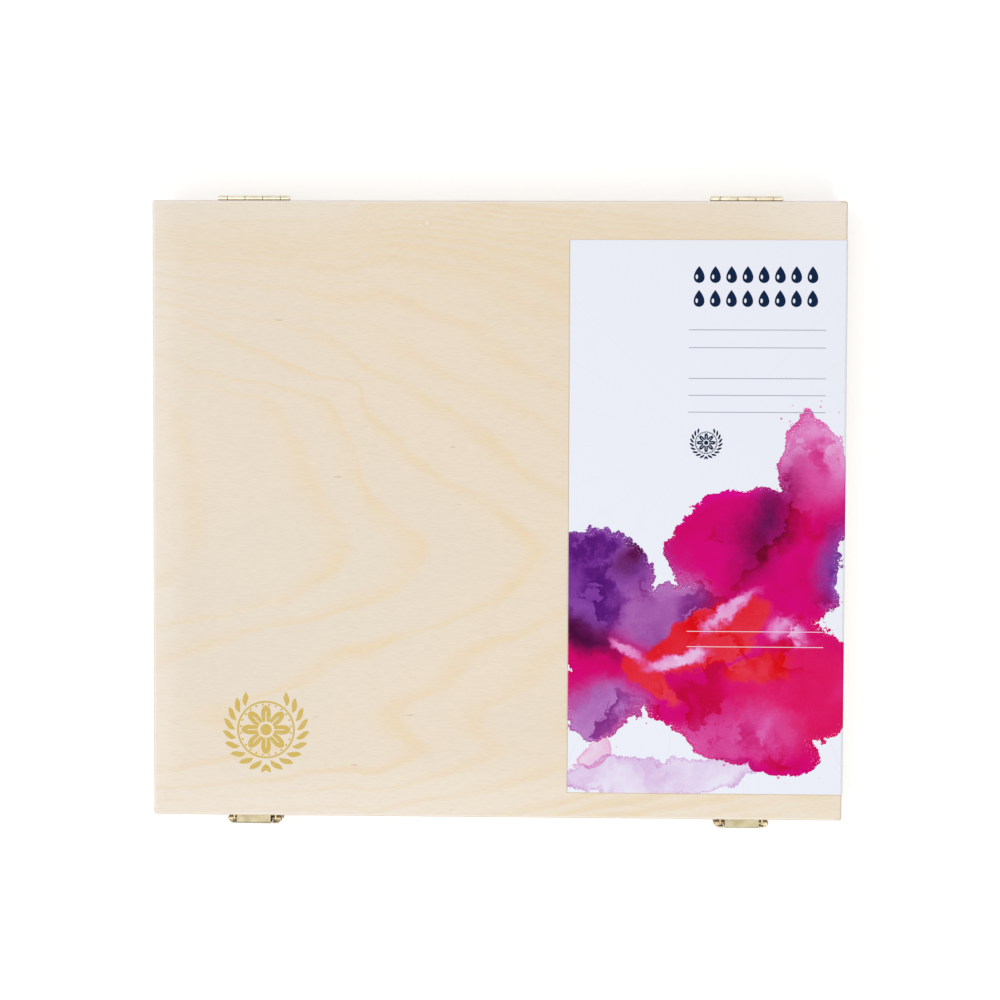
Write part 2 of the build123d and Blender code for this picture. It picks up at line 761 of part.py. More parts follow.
def rivet(centre, out, height):
    """Pin through both arms of the lever, headed outside them."""
    reach = lever_width / 2 + rivet_play
    with BuildPart() as pin:
        with BuildSketch(Plane.YZ.offset(centre - reach)):
            with Locations((out_y(out), height)):
                Circle(latch_pin_radius)
        extrude(amount=2 * reach)
        with BuildSketch(Plane.YZ.offset(centre - reach)):
            with Locations((out_y(out), height)):
                Circle(rivet_head_radius)
        extrude(amount=-rivet_head_height, taper=rivet_head_slope)
        with BuildSketch(Plane.YZ.offset(centre + reach)):
            with Locations((out_y(out), height)):
                Circle(rivet_head_radius)
        extrude(amount=rivet_head_height, taper=rivet_head_slope)
    return pin.part


for side, centre in sides.items():
    with BuildPart() as latch_strike_plate:
        add(strike_plate(centre))
    latch_strike_plate.part.label = f"latch_{side}_strike_plate"
    export_step(latch_strike_plate.part, f"parts/latch_{side}_strike_plate.step")

    with BuildPart() as latch_base_plate:
        add(base_plate(centre))
    latch_base_plate.part.label = f"latch_{side}_base_plate"
    export_step(latch_base_plate.part, f"parts/latch_{side}_base_plate.step")

    with BuildPart() as latch_claw:
        add(claw(centre))
    latch_claw.part.label = f"latch_{side}_claw"
    export_step(latch_claw.part, f"parts/latch_{side}_claw.step")

    with BuildPart() as latch_lever:
        add(lever(centre))
    latch_lever.part.label = f"latch_{side}_lever"
    export_step(latch_lever.part, f"parts/latch_{side}_lever.step")

    with BuildPart() as lever_pin:
        add(rivet(centre, lever_pin_out, lever_pin_z))
    lever_pin.part.label = f"latch_{side}_lever_pin"
    export_step(lever_pin.part, f"parts/latch_{side}_lever_pin.step")

    with BuildPart() as claw_pin:
        add(rivet(centre, claw_pin_out, claw_pin_z))
    claw_pin.part.label = f"latch_{side}_claw_pin"
    export_step(claw_pin.part, f"parts/latch_{side}_claw_pin.step")
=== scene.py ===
import math

import bmesh
import bpy
from mathutils import Euler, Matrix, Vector, noise

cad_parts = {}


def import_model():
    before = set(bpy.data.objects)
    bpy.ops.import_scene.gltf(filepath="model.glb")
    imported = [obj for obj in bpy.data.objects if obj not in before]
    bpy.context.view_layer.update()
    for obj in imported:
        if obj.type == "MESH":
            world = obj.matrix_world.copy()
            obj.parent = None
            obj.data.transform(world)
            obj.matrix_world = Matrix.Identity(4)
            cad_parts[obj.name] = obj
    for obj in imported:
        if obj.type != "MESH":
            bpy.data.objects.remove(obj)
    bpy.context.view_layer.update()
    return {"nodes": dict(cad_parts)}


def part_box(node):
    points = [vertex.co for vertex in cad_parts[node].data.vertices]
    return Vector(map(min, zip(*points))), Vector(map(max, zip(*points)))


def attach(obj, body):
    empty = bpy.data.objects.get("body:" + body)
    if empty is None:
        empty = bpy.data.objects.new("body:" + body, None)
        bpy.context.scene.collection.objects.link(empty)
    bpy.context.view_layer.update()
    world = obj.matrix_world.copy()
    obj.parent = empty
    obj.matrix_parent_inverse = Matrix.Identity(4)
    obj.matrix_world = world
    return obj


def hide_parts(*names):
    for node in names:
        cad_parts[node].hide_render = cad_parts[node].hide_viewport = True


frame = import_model()
NODES = frame["nodes"]

# Millimetres in a metre. The places and sizes that materials use are millimetres on the object,
# and scales of noise are per metre.
MM = 1000


class Paint:
    """A material and short calls that add nodes to it."""

    def __init__(self, name):
        self.material = bpy.data.materials.new(name)
        self.material.use_nodes = True
        self.tree = self.material.node_tree
        self.shader = self.tree.nodes["Principled BSDF"]

    def put(self, socket, value):
        if isinstance(value, bpy.types.NodeSocket):
            self.tree.links.new(value, socket)
        elif isinstance(value, tuple) and socket.type == "RGBA" and len(value) == 3:
            socket.default_value = (*value, 1)
        else:
            socket.default_value = value

    def node(self, kind, inputs, **settings):
        made = self.tree.nodes.new(kind)
        for name, value in settings.items():
            setattr(made, name, value)
        for place, value in inputs.items():
            self.put(made.inputs[place], value)
        return made

    def math(self, operation, *values, clamp=False):
        inputs = dict(enumerate(values))
        return self.node("ShaderNodeMath", inputs, operation=operation, use_clamp=clamp).outputs[0]

    def together(self, operation, first, *others):
        """One operation over several values."""
        for other in others:
            first = self.math(operation, first, other)
        return first

    def total(self, *values):
        return self.together("ADD", *values)

    def product(self, *values):
        return self.together("MULTIPLY", *values)

    def most(self, *values):
        return self.together("MAXIMUM", *values)

    def off(self, value, level):
        """Distance of a value from a level."""
        return self.math("ABSOLUTE", self.math("SUBTRACT", value, level))

    def vector(self, operation, *values):
        inputs = dict(enumerate(values))
        made = self.node("ShaderNodeVectorMath", inputs, operation=operation)
        return made.outputs["Value" if operation == "LENGTH" else "Vector"]

    def place(self, scale=(1, 1, 1), offset=0.0):
        """Coordinates of the object, in metres times scale, moved by offset along each axis."""
        here = self.node("ShaderNodeTexCoord", {}).outputs["Object"]
        inputs = {"Vector": here, "Scale": scale, "Location": (offset, offset, offset)}
        return self.node("ShaderNodeMapping", inputs).outputs[0]

    def split(self, vector):
        return self.node("ShaderNodeSeparateXYZ", {0: vector}).outputs

    def join(self, x, y, z):
        return self.node("ShaderNodeCombineXYZ", {0: x, 1: y, 2: z}).outputs[0]

    def millimetres(self):
        """X, Y and Z of the object, in millimetres."""
        return self.split(self.place((MM, MM, MM)))[:3]

    def reach(self, x, y, centre, halves=(1, 1)):
        """Distance from a centre, counted in these half widths along X and Y."""
        away = self.vector("SUBTRACT", self.join(x, y, 0.0), (*centre, 0))
        return self.vector("LENGTH", self.vector("DIVIDE", away, (*halves, 1)))

    def noise(self, vector, scale, detail=2.0, roughness=0.5, distortion=0.0, colour=False):
        inputs = {
            "Vector": vector,
            "Scale": scale,
            "Detail": detail,
            "Roughness": roughness,
            "Distortion": distortion,
        }
        return self.node("ShaderNodeTexNoise", inputs).outputs[1 if colour else 0]

    def sway(self, field, reach, middle=0.0):
        """Noise turned into a level that sways round its middle, over this reach from end to end."""
        return self.math("MULTIPLY_ADD", field, reach, middle - reach / 2)

    def remap(self, value, low, high, to_low=0.0, to_high=1.0, smooth=True):
        inputs = {0: value, 1: low, 2: high, 3: to_low, 4: to_high}
        kind = "SMOOTHSTEP" if smooth else "LINEAR"
        return self.node("ShaderNodeMapRange", inputs, interpolation_type=kind).outputs[0]

    def within(self, value, edge, soft):
        """1 below the edge, 0 above it."""
        return self.remap(value, edge - soft, edge + soft, 1.0, 0.0)

    def between(self, value, low, high, soft):
        """1 between two levels, 0 outside them."""
        return self.product(self.remap(value, low - soft, low + soft), self.within(value, high, soft))

    def mix(self, share, first, second, blend="MIX"):
        inputs = {0: share, 6: first, 7: second}
        made = self.node("ShaderNodeMix", inputs, data_type="RGBA", blend_type=blend)
        return made.outputs[2]

    def ramp(self, value, stops):
        made = self.node("ShaderNodeValToRGB", {0: value})
        elements = made.color_ramp.elements
        while len(elements) < len(stops):
            elements.new(0.5)
        for element, (position, colour) in zip(elements, stops):
            element.position = position
            element.color = (*colour, 1)
        return made.outputs[0]

    def curve(self, value, points):
        """A smooth curve through points, level beyond its first and last."""
        low, high = points[0][0], points[-1][0]
        top = max(level for place, level in points)
        share = self.remap(value, low, high, smooth=False)
        made = self.node("ShaderNodeFloatCurve", {"Value": share})
        line = made.mapping.curves[0]
        while len(line.points) < len(points):
            line.points.new(0.5, 0.5)
        spots = [((place - low) / (high - low), level / top) for place, level in points]
        for point, spot in zip(line.points, spots):
            point.location = spot
        made.mapping.update()
        return self.product(made.outputs[0], top)

    def bump(self, height, distance, strength=1.0):
        inputs = {"Height": height, "Distance": distance, "Strength": strength}
        return self.node("ShaderNodeBump", inputs).outputs[0]

    def finish(self, colour, roughness, normal=None, **constants):
        self.put(self.shader.inputs["Base Color"], colour)
        self.put(self.shader.inputs["Roughness"], roughness)
        if normal is not None:
            self.put(self.shader.inputs["Normal"], normal)
        for name, value in constants.items():
            self.put(self.shader.inputs[name.replace("_", " ")], value)
        return self.material


def rgb(red, green, blue):
    """A colour as seen on screen, 0 to 255, in the linear values that shaders take."""
    return tuple(
        v / 12.92 if v <= 0.04045 else ((v + 0.055) / 1.055) ** 2.4
        for v in (red / 255, green / 255, blue / 255)
    )


def box_mm(name):
    """The lowest and the highest corner of a piece's box, in millimetres."""
    return [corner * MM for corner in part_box(name)]


def add(name, data):
    """A new object in the scene."""
    made = bpy.data.objects.new(name, data)
    bpy.context.scene.collection.objects.link(made)
    return made


# Prints
NAVY_INK = rgb(14, 36, 70)
LID_INK = rgb(207, 176, 66)
LID_INK_SOFTNESS = 0.12
CARD_INK_SOFTNESS = 0.07
EMBLEM_PLACE = (-131.6, -125.7)
EMBLEM_RADIUS = 25.0
# The ornament's counts and its proportions, as shares of its radius
PETALS = 8
PETAL_ROOT = 0.20
PETAL_LENGTH = 0.36
PETAL_BLUNTNESS = 0.7
HEART = 0.13
HEART_GAP = 0.19
VEIN_HALF = 0.012
VEIN_END = 0.42
RING = 0.64
RING_HALF = 0.022
BEADS = 24
BEAD_RING = 0.58
BEAD = 0.026
LEAVES = 22
LEAF_ROOT = 0.70
# A leaf's lean, its half width and the bare edge inside that, as shares of the pitch of the leaves
LEAF_LEAN = 0.9
LEAF_HALF = 0.36
LEAF_GAP = 0.02
# How far each spray of leaves climbs round the ring, from its foot
OPEN_TOP = math.radians(152)


def flower(p, reach, angle, radius, soft):
    """Share of ink of petals with a vein in each, round a heart."""
    turn = p.product(angle, PETALS / 2)
    lobe = p.math("POWER", p.math("ABSOLUTE", p.math("COSINE", turn)), PETAL_BLUNTNESS)
    edge = p.product(p.math("MULTIPLY_ADD", lobe, PETAL_LENGTH, PETAL_ROOT), radius)
    petals = p.within(p.math("SUBTRACT", reach, edge), 0.0, soft)
    gap = p.within(reach, HEART_GAP * radius, soft)
    beside_vein = p.product(p.math("ABSOLUTE", p.math("SINE", turn)), reach, 2 / PETALS)
    vein = p.within(beside_vein, VEIN_HALF * radius, soft)
    vein = p.product(vein, p.within(reach, VEIN_END * radius, soft))
    petals = p.math("SUBTRACT", petals, p.most(gap, vein), clamp=True)
    return p.most(petals, p.within(reach, HEART * radius, soft))


def beaded_ring(p, reach, angle, radius, soft):
    """Share of ink of a thin ring and the beads inside it."""
    ring = p.within(p.off(reach, RING * radius), RING_HALF * radius, soft)
    turn = p.math("SUBTRACT", p.math("FRACT", p.product(angle, BEADS / math.tau)), 0.5)
    beside = p.product(turn, math.tau / BEADS * BEAD_RING * radius)
    bead = p.reach(beside, reach, (0, BEAD_RING * radius))
    return p.most(ring, p.within(bead, BEAD * radius, soft))


def leaf_sprays(p, side, up, reach, radius, soft):
    """Share of ink of two sprays of leaves that climb round the ring and leave its top open."""
    climb = p.math("ARCTAN2", p.math("ABSOLUTE", side), p.product(up, -1.0))
    height = p.remap(reach, LEAF_ROOT * radius, radius, smooth=False)
    turn = p.math("MULTIPLY_ADD", height, -LEAF_LEAN, p.product(climb, LEAVES / math.tau))
    beside = p.off(p.math("FRACT", turn), 0.5)
    half = p.product(p.math("SINE", p.product(height, math.pi)), LEAF_HALF)
    leaf = p.within(p.math("SUBTRACT", beside, half), -LEAF_GAP, 4 * soft / radius)
    return p.product(leaf, p.within(climb, OPEN_TOP, 0.01))


def rosette(p, x, y, centre, radius, soft):
    """Share of ink of a traditional ornament: a flower in a ring, with sprays of leaves round it."""
    side = p.math("SUBTRACT", x, centre[0])
    up = p.math("SUBTRACT", y, centre[1])
    reach = p.reach(x, y, centre)
    angle = p.math("ARCTAN2", side, up)
    middle = flower(p, reach, angle, radius, soft)
    ring = beaded_ring(p, reach, angle, radius, soft)
    return p.most(middle, ring, leaf_sprays(p, side, up, reach, radius, soft))


# Wood
WOOD_GROUND = rgb(236, 222, 203)
WOOD_COOL = rgb(230, 220, 205)
WOOD_BAND = rgb(237, 215, 179)
WOOD_DARK = rgb(223, 206, 184)
WOOD_PALE = rgb(244, 231, 213)
WOOD_FLECK = rgb(176, 128, 84)
# Painted highlight on the rounded rim of the face
WOOD_RIM_HIGHLIGHT = rgb(255, 248, 240)
WOOD_EDGE = rgb(246, 238, 226)
CORE_PALE = rgb(252, 242, 232)
CORE_DARK = rgb(240, 220, 198)
END_LIGHT = rgb(238, 222, 204)
# The darker end grain, also used as painted shade on the plies along the right and front edges
END_DARK_AND_SHADE = rgb(206, 178, 142)
END_PORE = rgb(178, 146, 108)
GLUE_LINE = rgb(196, 168, 132)
# Painted shadow of the card on the veneer: a thin dark line beside its left and front edges, its width in
# millimetres and its strength
CARD_SHADOW = rgb(186, 164, 136)
CARD_SHADOW_WIDTH = 0.5
CARD_SHADOW_SHARE = 0.6
FACE_VENEER = 0.35
VENEER_FIBRE = (230, 1500, 300)
VENEER_TICKS = (420, 3000, 600)

# The veneer's figure: a pile of growth lines whose tips point to the right. A line runs back to
# the left from its tip by this much at this height above or below.
RUN_ABOVE = (
    (-22.8, 0), (-13.5, 9), (-1.2, 26), (11, 47), (17.4, 62), (29.8, 80), (42, 93),
    (50, 104), (60.7, 124), (71, 146), (76, 162), (85.5, 177), (95, 188), (104, 200),
    (113, 228), (126, 255), (138, 290), (147, 330), (160, 430), (175, 580),
)
RUN_BELOW = (
    (-175, 272), (-165, 219), (-155.8, 179), (-146.6, 148), (-134.2, 127), (-128, 136),
    (-115.6, 142), (-109.4, 136), (-100.2, 118), (-84.7, 105), (-75.4, 93), (-63, 59),
    (-50.7, 29), (-38.3, 11), (-22.8, 0),
)
# How much of that run the lines keep, from the left side of the lid to its middle
RUN_SHARE = ((-198, 0.05), (-117, 0.38), (-86.5, 0.5), (-68, 0.9), (-43, 1.0))
FULL_RUN = 124
# How much the lines fan out on the left, beyond their full run and below their tips
FAN_ABOVE = 1.5
FAN_BELOW = 0.5
# Tips of the growth lines, with the half width and the strength of each
GROWTH_LINES = (
    (-167, 5, 0.6), (-92, 3, 0.35), (-83.5, 4.5, 0.9), (-49, 3, 0.4), (-40, 4.5, 0.9),
    (28, 4.5, 1.0), (86, 5, 0.9), (130, 5, 0.6), (184, 6, 0.75), (214, 5, 0.3),
)
FIRST_CLOSE_LINE = 258
CLOSE_LINE_PITCH = 40
CLOSE_LINES = 9
CLOSE_LINE_HALF = 11
CLOSE_LINE_STRENGTH = 0.85
# How many half widths the late wood takes to fade, on the left of its line and on the right
LATE_WOOD_RISE = 3.0
LATE_WOOD_FALL = 1.8
LATE_WOOD_SHARE = 0.9
LATE_WOOD_FADE_WIDTH = 110
# How far growth lines wander along X and Y, slowly and quickly, and how far fibres feather them
SLOW_WANDER = (22, 14)
QUICK_WANDER = (9, 5)
FEATHER = 7
# Paler borders of the veneer: the width of each and its strength at the edge
PALE_LEFT = (22, 0.5)
PALE_FRONT = (40, 0.45)
PALE_BACK = (30, 0.2)
# The paler right-hand corner at the back, by the sum of X and Y where it starts and ends
CORNER_START = 275
CORNER_END = 360
PALE_CORNER = 0.6
# Painted shade along the right and front edges: the rim's painted highlight is weaker and the plies are
# darker there, fully up to the first distance from the edge and not at all beyond the second
RIM_SHADE_FULL = 3
RIM_SHADE_END = 5
# Small marks in the veneer: a pale pin knot with a darker ring, and brown flecks
PIN_KNOT = (-40.4, 162.4)
PIN_KNOT_RADIUS = 2.4
FLECKS = ((-124.1, 107.5, 3.0), (-25.2, 36.1, 2.2), (-90.5, 18.8, 2.6), (-81.2, -145.6, 2.4))
FLECK_HALF_WIDTH = 0.35


def growth(p, x, y):
    """Place of a point among the growth lines, as the tip of the line through it."""
    above = p.curve(y, RUN_ABOVE)
    below = p.curve(y, RUN_BELOW)
    share = p.curve(x, RUN_SHARE)
    short = p.math("SUBTRACT", 1.0, share)
    near = p.product(share, p.math("MINIMUM", above, FULL_RUN))
    far = p.most(p.math("SUBTRACT", above, FULL_RUN), 0.0)
    far = p.product(far, p.math("MULTIPLY_ADD", short, FAN_ABOVE, 1.0))
    below = p.product(below, p.math("MULTIPLY_ADD", p.product(short, short), FAN_BELOW, 1.0))
    return p.total(x, near, far, below)


def growth_bands(p, level):
    """Strength of the darker late wood: soft on the left of each line, sharper on its right."""
    tips = [FIRST_CLOSE_LINE + CLOSE_LINE_PITCH * k for k in range(CLOSE_LINES)]
    close = [(tip, CLOSE_LINE_HALF, CLOSE_LINE_STRENGTH) for tip in tips]
    bands = []
    for tip, half_width, strength in (*GROWTH_LINES, *close):
        rise = p.remap(level, tip - LATE_WOOD_RISE * half_width, tip, 0.0, strength)
        fall = p.remap(level, tip, tip + LATE_WOOD_FALL * half_width, 1.0, 0.0)
        bands.append(p.product(rise, fall))
    return p.most(*bands)


def late_wood(p, across, y, flip, low):
    """Share of late wood: in patches, and weaker on the left and in the right-hand back corner."""
    slow = p.split(p.noise(p.place((11, 17, 0), flip * 3.1), 1, 2, 0.5, colour=True))
    quick = p.split(p.noise(p.place((34, 60, 0), flip * 5.3), 1, 2, 0.6, colour=True))
    feather = p.noise(p.place((45, 1300, 0)), 1, 2, 0.6)
    bent_x = p.total(across, p.sway(slow[0], SLOW_WANDER[0]), p.sway(quick[0], QUICK_WANDER[0]))
    bent_y = p.total(y, p.sway(slow[1], SLOW_WANDER[1]), p.sway(quick[1], QUICK_WANDER[1]))
    bands = growth_bands(p, p.total(growth(p, bent_x, bent_y), p.sway(feather, FEATHER)))
    patchy = p.remap(p.noise(p.place((14, 45, 0)), 1, 3, 0.6), 0.3, 0.62, 0.3, 1.0)
    left = p.remap(across, low.x, low.x + LATE_WOOD_FADE_WIDTH, 0.5, 1.0, smooth=False)
    corner = p.remap(p.total(across, y), CORNER_START, CORNER_END, 1.0, 0.3)
    return p.product(bands, patchy, left, corner)


def veneer_ground(p, across, y, low, high):
    """Wood between the growth lines: cloudy, warmer to the right and back, paler at its borders."""
    cloud = p.noise(p.place((5, 9, 0), 7.0), 1, 3, 0.6)
    ground = p.mix(p.remap(cloud, 0.35, 0.65, 0.1, 0.6), WOOD_GROUND, WOOD_COOL)
    slant = p.math("MULTIPLY_ADD", y, 0.5, across)
    ground = p.mix(p.remap(slant, -190, 160, 0.0, 0.36, smooth=False), ground, WOOD_BAND)
    left = p.remap(across, low.x, low.x + PALE_LEFT[0], PALE_LEFT[1], 0.0)
    front = p.remap(y, low.y, low.y + PALE_FRONT[0], PALE_FRONT[1], 0.0)
    back = p.remap(y, high.y - PALE_BACK[0], high.y, 0.0, PALE_BACK[1])
    corner = p.remap(p.total(across, y), CORNER_START, CORNER_END, 0.0, PALE_CORNER)
    return p.mix(p.most(left, front, back, corner), ground, WOOD_EDGE)


def veneer_fibres(p, fibre, ticks, face):
    """Fine dark and pale fibres, short dark ticks and rare brown flecks."""
    face = p.mix(p.remap(fibre, 0.5, 0.78, 0.0, 0.45), face, WOOD_DARK)
    face = p.mix(p.remap(fibre, 0.5, 0.24, 0.0, 0.4), face, WOOD_PALE)
    face = p.mix(p.remap(ticks, 0.60, 0.75, 0.0, 0.4), face, WOOD_DARK)
    rare = p.noise(p.place((70, 700, 0), 2.0), 1, 1)
    where = p.remap(p.noise(p.place((22, 22, 0), 9.0), 1, 1), 0.67, 0.70)
    return p.mix(p.product(p.remap(rare, 0.71, 0.77, 0.0, 0.6), where), face, WOOD_FLECK)


def small_marks(p, x, y, face):
    """The pin knot and the flecks of the lid's veneer."""
    x = p.total(x, p.sway(p.noise(p.place((400, 400, 0)), 1, 2), 0.8))
    knot = p.reach(x, y, PIN_KNOT, (PIN_KNOT_RADIUS, PIN_KNOT_RADIUS))
    face = p.mix(p.product(p.within(knot, 0.6, 0.8 / PIN_KNOT_RADIUS), 0.7), face, WOOD_PALE)
    ring = p.between(knot, 0.62, 0.95, 0.7 / PIN_KNOT_RADIUS)
    face = p.mix(p.product(ring, 0.55), face, WOOD_DARK)
    for mark_x, mark_y, half_length in FLECKS:
        fleck = p.reach(x, y, (mark_x, mark_y), (half_length, FLECK_HALF_WIDTH))
        face = p.mix(p.product(p.within(fleck, 0.7, 0.35), 0.55), face, WOOD_FLECK)
    return face


def card_shadow(p, x, y):
    """Share of the painted shadow that the card casts on the veneer: a thin dark line beside its left and
    front edges.
    """
    low, high = box_mm("label_card")
    beside = p.math("SUBTRACT", low.x, x)
    before = p.math("SUBTRACT", low.y, y)
    line = p.within(p.most(beside, before), CARD_SHADOW_WIDTH, 0.2)
    return p.product(line, p.within(y, high.y, 0.1))


def lid_print(p, x, y, top, fibre, face):
    """The ornament in ochre ink, thinner over the darker fibres, and the painted shadow line beside the
    card.
    """
    ink = rosette(p, x, y, EMBLEM_PLACE, EMBLEM_RADIUS, LID_INK_SOFTNESS)
    face = p.mix(p.product(ink, p.remap(fibre, 0.3, 0.7, 1.0, 0.78), top), face, LID_INK)
    # Painted shadow of the card: a thin dark line beside its left and front edges
    return p.mix(p.product(card_shadow(p, x, y), CARD_SHADOW_SHARE), face, CARD_SHADOW)


def ply_edge(p, across, y, depth, low, high, face):
    """The painted highlight on the rounded rim of the face, and the streaky plies and glue lines under the
    veneers.

    Along the right and front edges painted shade makes the rim's highlight weaker and the plies darker."""
    right = p.remap(across, high.x - RIM_SHADE_END, high.x - RIM_SHADE_FULL)
    front = p.remap(y, low.y + RIM_SHADE_FULL, low.y + RIM_SHADE_END, 1.0, 0.0)
    rim_shade = p.most(right, p.product(front, 0.5))
    # Painted highlight on the rounded rim, weaker under the painted shade along the right and front edges
    rim = p.product(p.remap(depth, 0.0, 0.05), p.math("MULTIPLY_ADD", rim_shade, -0.85, 0.95))
    face = p.mix(rim, face, WOOD_RIM_HIGHLIGHT)
    depth = p.total(depth, p.sway(p.noise(p.place((35, 35, 0)), 1, 2), 0.08))
    layers = p.noise(p.place((50, 50, 1300)), 1, 3, 0.6)
    core = p.mix(p.remap(layers, 0.35, 0.68), CORE_PALE, CORE_DARK)
    # Painted shade: the plies darker along the right and front edges
    core = p.mix(p.product(rim_shade, 0.6), core, END_DARK_AND_SHADE)
    core = p.mix(p.remap(p.off(depth, FACE_VENEER), 0.02, 0.08, 0.35, 0.0), core, GLUE_LINE)
    return p.mix(p.remap(depth, FACE_VENEER - 0.04, FACE_VENEER + 0.04), face, core)


def panel_wood(name, node, flip, printed):
    """Ply panel faced with peeled veneer; its edge shows the plies."""
    p = Paint(name)
    low, high = box_mm(node)
    x, y, z = p.millimetres()
    across = p.product(x, flip)
    fibre = p.noise(p.place(VENEER_FIBRE), 1, 3, 0.6)
    ticks = p.noise(p.place(VENEER_TICKS), 1, 2, 0.6)
    late = late_wood(p, across, y, flip, low)
    face = veneer_ground(p, across, y, low, high)
    face = p.mix(p.product(late, LATE_WOOD_SHARE), face, WOOD_BAND)
    face = veneer_fibres(p, fibre, ticks, face)
    if printed:
        face = small_marks(p, x, y, face)
        top = p.remap(z, high.z - 0.3, high.z - 0.2)
        face = lid_print(p, x, y, top, fibre, face)
    depth = p.math("MINIMUM", p.math("SUBTRACT", high.z, z), p.math("SUBTRACT", z, low.z))
    colour = ply_edge(p, across, y, depth, low, high, face)
    height = p.math("MULTIPLY_ADD", ticks, 0.5, p.product(fibre, 0.5))
    roughness = p.remap(fibre, 0.2, 0.8, 0.44, 0.58)
    return p.finish(colour, roughness, p.bump(height, 0.00007, 0.6), Specular_IOR_Level=0.35)


def wall_wood(name, along):
    """Solid pale wood: grain along X or Y, end grain on the faces across it."""
    p = Paint(name)

    def drawn_out(length, width, height):
        """Coordinates for noise drawn out along the grain."""
        return p.place((length, width, height) if along == "x" else (width, length, height))

    fibre = p.noise(drawn_out(30, 700, 700), 1, 3, 0.62)
    broad = p.noise(drawn_out(6, 60, 90), 1, 3, 0.55, 0.5)
    pores = p.noise(drawn_out(160, 2200, 2200), 1, 2, 0.6)
    side = p.mix(p.remap(broad, 0.36, 0.66), WOOD_GROUND, WOOD_BAND)
    side = p.mix(p.remap(fibre, 0.42, 0.75, 0.0, 0.6), side, WOOD_DARK)
    side = p.mix(p.remap(pores, 0.60, 0.74, 0.0, 0.5), side, WOOD_DARK)
    end_pores = p.noise(p.place(), 2600, 1)
    rings = p.noise(p.place((70, 70, 330)), 1, 2, 0.5, 0.6)
    end = p.mix(p.remap(rings, 0.35, 0.65), END_LIGHT, END_DARK_AND_SHADE)
    end = p.mix(p.remap(end_pores, 0.55, 0.7, 0.0, 0.5), end, END_PORE)
    facing = p.split(p.node("ShaderNodeTexCoord", {}).outputs["Normal"])
    across = p.math("ABSOLUTE", facing[0 if along == "x" else 1])
    colour = p.mix(p.remap(across, 0.6, 0.8), side, end)
    height = p.math("MULTIPLY_ADD", pores, 0.5, p.product(fibre, 0.5))
    roughness = p.remap(fibre, 0.2, 0.8, 0.48, 0.62)
    return p.finish(colour, roughness, p.bump(height, 0.00009, 0.6), Specular_IOR_Level=0.35)


# Metal
HINGE_TONE = rgb(230, 222, 202)
HINGE_SHADE = rgb(204, 193, 166)
CLAW_TONE = rgb(164, 154, 128)
CLAW_SHADE = rgb(142, 132, 104)
LEVER_TONE = rgb(186, 172, 140)
LEVER_SHADE = rgb(156, 138, 106)
SCREW_TONE = rgb(186, 172, 134)
SCREW_SHADE = rgb(150, 134, 94)
# Painted shade in the joints between a hinge's knuckles
KNUCKLE_SHADE = rgb(112, 90, 58)
# Scales of the brushing: long strokes along X, along Y, and the face of a screw's head
BRUSHED_X = (1, 14, 14)
BRUSHED_Y = (14, 1, 14)
TURNED = (6, 6, 1)
# Where the knuckles of a hinge meet, from the middle of its barrel, and the painted shade in the joints
# there
KNUCKLE_JOINTS = (-15.1, -5.05, 5.05, 15.1)
KNUCKLE_SHADE_HALF = 0.28
KNUCKLE_SHADE_SHARE = 0.65


def knuckle_shade(p, side):
    """Share of painted shade in the joints between the knuckles of a hinge, outside the back wall."""
    x, y, z = p.millimetres()
    low, high = box_mm(f"hinge_{side}_pin")
    middle = (low.x + high.x) / 2
    wall = box_mm("base_back_wall")[1].y
    dark = [p.within(p.off(x, middle + joint), KNUCKLE_SHADE_HALF, 0.15) for joint in KNUCKLE_JOINTS]
    return p.product(p.most(*dark), p.remap(y, wall, wall + 0.3))


def brass(name, tone, shade, rough, brushed, hinge_side=None):
    """Plated sheet or wire: cloudy tone, fine brushing, small pits of wear, and on a hinge painted shade
    between the knuckles.
    """
    p = Paint(name)
    cloud = p.noise(p.place(), 150, 3, 0.6)
    scratch = p.noise(p.place(brushed), 26, 3, 0.7)
    pits = p.noise(p.place(), 1900, 1)
    colour = p.mix(p.remap(cloud, 0.3, 0.72), tone, shade)
    colour = p.mix(p.remap(pits, 0.66, 0.74, 0.0, 0.5), colour, shade)
    if hinge_side:
        # Painted shade in the joints between the knuckles
        joint_shade = p.product(knuckle_shade(p, hinge_side), KNUCKLE_SHADE_SHARE)
        colour = p.mix(joint_shade, colour, KNUCKLE_SHADE)
    height = p.math("MULTIPLY_ADD", pits, -0.3, scratch)
    return p.finish(colour, p.sway(scratch, 0.18, rough), p.bump(height, 0.00002, 0.35), Metallic=1.0)


# Label card: washes of paint on coated paper. Places are millimetres on the lid, with the
# folded side unrolled to the right.
PAPER = rgb(241, 244, 253)
MAGENTA = rgb(226, 0, 118)
ROSE = rgb(228, 68, 150)
CRIMSON = rgb(235, 20, 98)
SCARLET = rgb(242, 44, 64)
VIOLET = rgb(138, 62, 160)
MAUVE = rgb(170, 84, 166)
PLUM = rgb(96, 12, 76)
LILAC = rgb(226, 178, 222)
BLUSH = rgb(244, 160, 200)
# Painted area, as tilted ellipses that run together: centre, half widths, tilt in degrees
PAINTED = (
    ((60, -44), (36, 32), 22),
    ((118, -24), (15, 24), -16),
    ((152, -30), (48, 46), 18),
    ((180, 14), (22, 46), 12),
    ((104, -80), (70, 38), -6),
    ((166, -96), (42, 34), 12),
    ((58, -108), (24, 22), 30),
    ((142, -124), (46, 20), -16),
)
